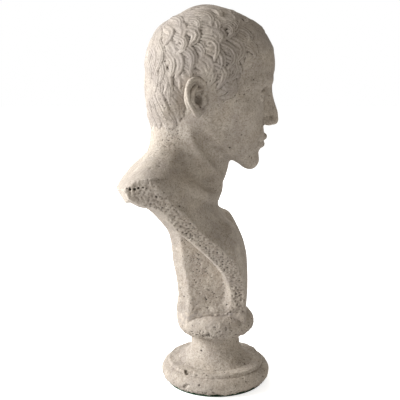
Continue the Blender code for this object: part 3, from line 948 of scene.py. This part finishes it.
def turned_clay(node, outline):
    """A block turned to a radius for each height, with the rod's hole through it."""
    low, high = box_mm(node)
    clay = Clay(low - 6, high + 6)
    x, y, z = clay.lines
    heights = np.clip(z, low[2], high[2])
    radius = np.interp(heights.ravel(), outline[:, 0], outline[:, 1]).reshape(heights.shape)
    across = np.hypot(x, y)
    clay.field[...] = evened(across - radius.astype(np.float32))
    clay.trim(np.maximum(low[2] - z, z - high[2]))
    clay.trim(ROD_HOLE_RADIUS - across)
    return clay, across


def chip(clay, rng, radius, height, angle, size):
    """Knocks a flake off an edge, with several overlapping balls."""
    for _ in range(4):
        turn = math.radians(angle) + rng.normal(0, 0.5) * size / radius
        place = (radius * math.sin(turn), -radius * math.cos(turn), height + rng.normal(0, 0.35) * size)
        add_ball(clay, PLAIN, place, size * rng.uniform(0.45, 0.9, 3), 0.8, cut=True)


def outer_faces(points):
    """1 on the faces that weather, and 0 in the rod's hole and the counterbore."""
    return ramp(np.hypot(points[:, 0], points[:, 1]) - 30, 4)


def carve_socle():
    rng = np.random.default_rng(11)
    clay, across = turned_clay("socle", socle_outline())
    counterbore_top = SOCLE_BOTTOM + COUNTERBORE_DEPTH
    clay.trim(-np.maximum(across - COUNTERBORE_RADIUS, clay.lines[2] - counterbore_top))
    for _ in range(46):
        chip(clay, rng, 78.5, SOCLE_BOTTOM + 1.5, rng.uniform(0, 360), rng.uniform(1.5, 4.5))
    for _ in range(16):
        chip(clay, rng, 72.5, 31.5, rng.uniform(0, 360), rng.uniform(1.2, 3.0))
    for angle in (232, 236, 118, 20):
        chip(clay, rng, 70, 32.5, angle, 5.0)
    for _ in range(12):
        chip(clay, rng, 82, rng.uniform(6, 22), rng.uniform(0, 360), rng.uniform(1.5, 3.5))
    skin = Skin(clay)
    points = skin.smooth
    low_edge = ramp(12 - points[:, 2], 8)
    skin.push(0.35 * rough_noise(points, 13, 61) + (0.2 + 0.6 * low_edge) * rough_noise(points, 4.0, 62))
    pits = pit_skin(skin, rng, 700, (0.2 + 2 * low_edge) * outer_faces(points), (0.8, 2.6), 1.1)
    return skin, pits, np.clip(0.25 + low_edge, 0, 1)


def carve_cushion():
    rng = np.random.default_rng(12)
    clay, _ = turned_clay("cushion", cushion_outline())
    for _ in range(10):
        chip(clay, rng, 56, rng.uniform(80, 92), rng.uniform(0, 360), rng.uniform(1.5, 3.0))
    skin = Skin(clay)
    points = skin.smooth
    under = ramp(95 - points[:, 2], 12)
    skin.push(0.35 * rough_noise(points, 12, 63) + (0.25 + 0.35 * under) * rough_noise(points, 4.5, 64))
    pits = pit_skin(skin, rng, 600, (0.35 + 1.6 * under) * outer_faces(points), (0.8, 2.4), 1.1)
    return skin, pits, np.clip(0.35 + 0.6 * under, 0, 1)


def carve_upper_mortar(bust_clay):
    """Mortar under and around the bust's foot, packed into the wedge down to the cushion's round side."""
    low, high = box_mm("bust_setting_bed")
    clay = Clay((low[0] - 20, low[1] - 20, CUSHION_MIDDLE - 8), (high[0] + 20, high[1] + 32, high[2] + 12))
    x, y, z = clay.lines
    points = clay.points()
    at_foot = points.copy()
    at_foot[:, 2] = np.maximum(at_foot[:, 2], high[2] + 2.5)
    foot = bust_clay.sample(at_foot).reshape(clay.count)
    ragged = rough_noise(points, 6.0, 71, 2).reshape(clay.count)
    reach = 0.8 + 0.4 * ragged - 0.3 * np.maximum(z - high[2], 0)
    across = np.hypot(x, y)
    cushion = np.hypot(np.maximum(across - CUSHION_FLAT, 0) / CUSHION_BULGE,
                       (z - CUSHION_MIDDLE) / CUSHION_HALF_HEIGHT)
    fillet = np.maximum(foot - reach, (1.0 - cushion) * CUSHION_HALF_HEIGHT - MORTAR_BITE)
    fillet = blended_max(fillet, across - CUSHION_FLAT - CUSHION_BULGE - 1.5, 4.0)
    fillet = blended_max(fillet, CUSHION_MIDDLE - 1.0 + ragged - z, 3.0)
    fillet = np.maximum(fillet, np.maximum(z - high[2] - 4.0, ROD_HOLE_RADIUS - across))
    clay.field[...] = evened(fillet)
    return Skin(clay)


def carve_lower_mortar():
    """The bed under the cushion, squeezed out a little past the socle's waist."""
    low, high = box_mm("socle_setting_bed")
    clay = Clay(low - 5, high + 5)
    x, y, z = clay.lines
    across = np.hypot(x, y)
    ragged = rough_noise(clay.points(), 5.0, 73, 2).reshape(clay.count)
    middle = (low[2] + high[2]) / 2
    bed = np.hypot(np.maximum(across - high[0] + 2, 0), (z - middle) * 1.2) - 2.6 - 0.7 * ragged
    clay.field[...] = np.maximum(bed, ROD_HOLE_RADIUS - across)
    return Skin(clay)


# ---------------- materials, light and camera
STONE_BUFF = (0.48, 0.412, 0.338)
STONE_PALE = (0.64, 0.575, 0.49)
STONE_GREY = (0.375, 0.325, 0.282)
STONE_CRUST = (0.29, 0.25, 0.225)
# The dirt and soot colours are real dirt and soot, and also painted shade in broad hollows and narrow
# creases.
STONE_DIRT_AND_SHADE = (0.215, 0.172, 0.132)
STONE_SOOT_AND_SHADE = (0.05, 0.04, 0.033)
ZINC_DULL = (0.42, 0.43, 0.44)
ZINC_BRIGHT = (0.58, 0.58, 0.57)
ZINC_RUST = (0.62, 0.60, 0.55)
FELT_DARK = (0.012, 0.045, 0.022)
FELT_LIGHT = (0.035, 0.10, 0.05)
SKY_COLOUR = (1.0, 0.96, 0.89)
SKY_STRENGTH = 0.43
WHITE = (1, 1, 1, 1)
FLOOR_REACH = 6.0
FLOOR_GLOW = 0.68
CAMERA_PLACE = (-1.10, 0.0237, 0.4926)
CAMERA_LENS = 67.8
CAMERA_PITCH = math.radians(11.0)
# Name, place, what it points at, diameter, power, colour.
LIGHTS = (
    ("key", (-0.20, 1.82, 1.08), (0, 0.02, 0.33), 1.3, 76, (0.96, 0.985, 1.02)),
    ("fill", (2.0, 0.05, 0.9), (0, 0, 0.33), 0.9, 15, (1.0, 0.985, 0.96)),
)


class Recipe:
    """A node material being put together."""

    def __init__(self, name):
        self.material = bpy.data.materials.new(name)
        self.material.use_nodes = True
        self.tree = self.material.node_tree
        self.shader = self.tree.nodes["Principled BSDF"]
        self.place = self.node("ShaderNodeTexCoord").outputs["Object"]

    def node(self, kind, inputs=(), **settings):
        """Adds a node, with its settings, and with its inputs set or connected."""
        made = self.tree.nodes.new(kind)
        for key, value in settings.items():
            setattr(made, key, value)
        for socket, value in dict(inputs).items():
            self.link(value, made.inputs[socket])
        return made

    def link(self, value, socket):
        """Connects an output, or sets a plain value."""
        if isinstance(value, bpy.types.NodeSocket):
            self.tree.links.new(value, socket)
        else:
            socket.default_value = value

    def noise(self, scale, detail=4.0, roughness=0.55, distortion=0.0):
        inputs = {"Scale": scale, "Detail": detail, "Roughness": roughness, "Distortion": distortion}
        return self.node("ShaderNodeTexNoise", {"Vector": self.place, **inputs}).outputs["Fac"]

    def mask(self, label):
        return self.node("ShaderNodeAttribute", attribute_name=label).outputs["Fac"]

    def spread(self, value, low, high, low_out=0.0, high_out=1.0):
        """Maps low..high to low_out..high_out, and clamps."""
        inputs = {"From Min": low, "From Max": high, "To Min": low_out, "To Max": high_out}
        return self.node("ShaderNodeMapRange", {"Value": value, **inputs}).outputs["Result"]

    def times(self, a, b):
        return self.node("ShaderNodeMath", {0: a, 1: b}, operation="MULTIPLY").outputs[0]

    def mix(self, share, a, b):
        """Mixes two colours."""
        a, b = ((*each, 1.0) if isinstance(each, tuple) else each for each in (a, b))
        return self.node("ShaderNodeMix", {"Factor": share, 6: a, 7: b}, data_type="RGBA").outputs[2]

    def layered(self, colour, *layers):
        """Lays each layer's colour over those before it, by its share."""
        for share, over in layers:
            colour = self.mix(share, colour, over)
        return colour

    def bump(self, height, distance, strength, under=None):
        inputs = {"Height": height, "Distance": distance, "Strength": strength}
        if under is not None:
            inputs["Normal"] = under
        return self.node("ShaderNodeBump", inputs).outputs["Normal"]

    def finish(self, colour, roughness, normal):
        for label, value in (("Base Color", colour), ("Roughness", roughness), ("Normal", normal)):
            self.link(value, self.shader.inputs[label])
        return self.material


def aged_marble():
    """Weathered marble: a warm buff crust, greyer blotches, dirt and painted shade in the hollows and worn,
    paler ridges.
    """
    mix = Recipe("aged_marble")
    grain = mix.noise(420, 6, 0.7)
    grime = mix.spread(mix.noise(160, 5, 0.7), 0.35, 0.7, 0.0, 0.45)
    crust = mix.spread(mix.noise(30, 5, 0.6), 0.35, 0.65, 0.15, 0.6)
    colour = mix.layered(
        STONE_BUFF,
        (mix.spread(mix.noise(17, 6, 0.6, 0.6), 0.38, 0.66), STONE_GREY),  # blotches
        (mix.spread(mix.noise(55, 5, 0.6), 0.42, 0.68, 0.0, 0.55), STONE_PALE),  # patches
        (mix.spread(grain, 0.42, 0.66, 0.0, 0.6), STONE_DIRT_AND_SHADE),
        (mix.spread(mix.noise(210, 4, 0.6), 0.48, 0.64, 0.0, 0.25), STONE_DIRT_AND_SHADE),  # mottle
        (mix.spread(mix.noise(520, 3, 0.6), 0.64, 0.72, 0.0, 0.8), STONE_SOOT_AND_SHADE),  # speckle
        (mix.times(mix.mask("rough"), grime), STONE_DIRT_AND_SHADE),
        # dirt and painted shade: darker in the broad hollows
        (mix.spread(mix.mask("wide"), 0.2, 1.6, 0.0, 0.55), STONE_DIRT_AND_SHADE),
        (mix.times(mix.mask("hair"), crust), STONE_CRUST),
        # soot and painted shade: near black in the narrow creases
        (mix.spread(mix.mask("hollow"), 0.02, 0.45, 0.0, 0.9), STONE_SOOT_AND_SHADE),
        (mix.spread(mix.mask("hollow"), -0.05, -0.6, 0.0, 0.45), STONE_PALE),  # worn ridges
        (mix.spread(mix.mask("pits"), 0.2, 1.3, 0.0, 0.75), STONE_SOOT_AND_SHADE),
    )
    fine = mix.bump(mix.noise(900, 6, 0.7), 0.0008, 0.7)
    coarse = mix.bump(mix.noise(260, 5, 0.65), 0.0011, 0.5, fine)
    return mix.finish(colour, mix.spread(grain, 0.3, 0.7, 0.72, 0.95), coarse)


def setting_mortar():
    """Stone-coloured mortar with dark grains of sand."""
    mix = Recipe("setting_mortar")
    colour = mix.layered(
        STONE_BUFF,
        (mix.spread(mix.noise(120, 5, 0.6), 0.35, 0.7), STONE_CRUST),
        (mix.spread(mix.noise(600, 3), 0.6, 0.72, 0.0, 0.7), STONE_SOOT_AND_SHADE),
    )
    return mix.finish(colour, 0.95, mix.bump(mix.noise(500, 6, 0.7), 0.001, 0.6))


def zinc_steel():
    """Zinc-plated steel with a dull spangle and spots of white rust."""
    mix = Recipe("zinc_steel")
    spangle = mix.noise(240, 3, 0.5)
    colour = mix.layered(
        ZINC_DULL,
        (mix.spread(spangle, 0.4, 0.6), ZINC_BRIGHT),
        (mix.spread(mix.noise(520, 4, 0.7), 0.6, 0.68), ZINC_RUST),
    )
    mix.shader.inputs["Metallic"].default_value = 0.9
    return mix.finish(colour, mix.spread(spangle, 0.3, 0.7, 0.35, 0.6), mix.bump(spangle, 0.0003, 0.3))


def green_felt():
    mix = Recipe("green_felt")
    fibres = mix.noise(1800, 5, 0.8, 1.5)
    colour = mix.layered(FELT_DARK, (mix.spread(fibres, 0.3, 0.7), FELT_LIGHT))
    return mix.finish(colour, 1.0, mix.bump(fibres, 0.0006, 0.8))


def set_camera():
    """View of the bust's own right side, a little from above."""
    data = bpy.data.cameras.new("camera")
    camera = bpy.data.objects.new("camera", data)
    bpy.context.scene.collection.objects.link(camera)
    data.sensor_width = 36.0
    data.lens = CAMERA_LENS
    camera.location = CAMERA_PLACE
    look = Vector((math.cos(CAMERA_PITCH), 0, -math.sin(CAMERA_PITCH)))
    camera.rotation_euler = look.to_track_quat("-Z", "Y").to_euler()
    bpy.context.scene.camera = camera


def set_lights():
    for name, place, target, size, power, colour in LIGHTS:
        data = bpy.data.lights.new(name, "AREA")
        data.shape = "DISK"
        data.size = size
        data.energy = power
        data.color = colour
        light = bpy.data.objects.new(name, data)
        light.location = place
        light.rotation_euler = (Vector(target) - Vector(place)).to_track_quat("-Z", "Y").to_euler()
        bpy.context.scene.collection.objects.link(light)


def set_sky():
    """Soft, warm light from all round, in front of a plain white backdrop."""
    bpy.context.scene.view_settings.view_transform = "Standard"
    world = bpy.data.worlds.new("studio")
    bpy.context.scene.world = world
    world.use_nodes = True
    nodes, links = world.node_tree.nodes, world.node_tree.links
    lit = nodes["Background"]
    lit.inputs["Color"].default_value = (*SKY_COLOUR, 1)
    lit.inputs["Strength"].default_value = SKY_STRENGTH
    seen = nodes.new("ShaderNodeBackground")
    seen.inputs["Color"].default_value = WHITE
    chooser = nodes.new("ShaderNodeMixShader")
    links.new(nodes.new("ShaderNodeLightPath").outputs["Is Camera Ray"], chooser.inputs["Fac"])
    links.new(lit.outputs["Background"], chooser.inputs[1])
    links.new(seen.outputs["Background"], chooser.inputs[2])
    links.new(chooser.outputs["Shader"], nodes["World Output"].inputs["Surface"])


def set_floor():
    """A white paper floor, lit enough to run into the backdrop."""
    mesh = bpy.data.meshes.new("floor")
    corners = [(x * FLOOR_REACH, y * FLOOR_REACH, 0) for x, y in ((-1, -1), (1, -1), (1, 1), (-1, 1))]
    mesh.from_pydata(corners, [], [(0, 1, 2, 3)])
    floor = bpy.data.objects.new("floor", mesh)
    bpy.context.scene.collection.objects.link(floor)
    material = bpy.data.materials.new("floor")
    material.use_nodes = True
    nodes, links = material.node_tree.nodes, material.node_tree.links
    shader = nodes["Principled BSDF"]
    shader.inputs["Base Color"].default_value = (0.9, 0.9, 0.9, 1)
    shader.inputs["Roughness"].default_value = 0.9
    shader.inputs["Emission Color"].default_value = WHITE
    glow = nodes.new("ShaderNodeMath")
    glow.operation = "MULTIPLY"
    glow.inputs[1].default_value = FLOOR_GLOW
    links.new(nodes.new("ShaderNodeLightPath").outputs["Is Camera Ray"], glow.inputs[0])
    links.new(glow.outputs["Value"], shader.inputs["Emission Strength"])
    mesh.materials.append(material)


def stone_masks(skin, pits, rough, hair):
    """What the marble's colour follows: narrow and wide hollows, which are painted darker as dirt and
    painted shade, pits, rough faces and hair.
    """
    wide = skin.hollowness(24)
    return {"hollow": skin.hollowness(3), "wide": wide, "pits": pits, "rough": rough, "hair": hair}


def stand_in(node, prefix, skin, material, masks):
    """Makes the carved piece that takes the place of a CAD node."""
    piece = mesh_piece(prefix + node, skin, material, masks)
    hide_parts(node)


marble, mortar, zinc, felt = aged_marble(), setting_mortar(), zinc_steel(), green_felt()

bust_clay, scalp, saw, head = carve_bust()
bust_skin = Skin(bust_clay)
hairy = comb_hair(bust_skin, head, scalp)
pits, rough = wear_bust(bust_skin, head, saw, bust_clay)
masks = stone_masks(bust_skin, pits, rough, hairy)
stand_in("bust", "carved_", bust_skin, marble, masks)

turned = {"socle": carve_socle(), "cushion": carve_cushion()}
for node, (skin, pits, rough) in turned.items():
    masks = stone_masks(skin, pits, rough, np.zeros(skin.count))
    stand_in(node, "turned_", skin, marble, masks)

beds = {"bust_setting_bed": carve_upper_mortar(bust_clay), "socle_setting_bed": carve_lower_mortar()}
for node, skin in beds.items():
    skin.push(0.3 * rough_noise(skin.smooth, 4.0, 81))
    stand_in(node, "squeezed_", skin, mortar, {})

finishes = {"threaded_rod": zinc, "washer": zinc, "hex_nut": zinc, "rod_grout": mortar, "base_felt": felt}
for node, material in finishes.items():
    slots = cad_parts[node].data.materials
    slots.clear()
    slots.append(material)

set_camera()
set_sky()
set_lights()
set_floor()
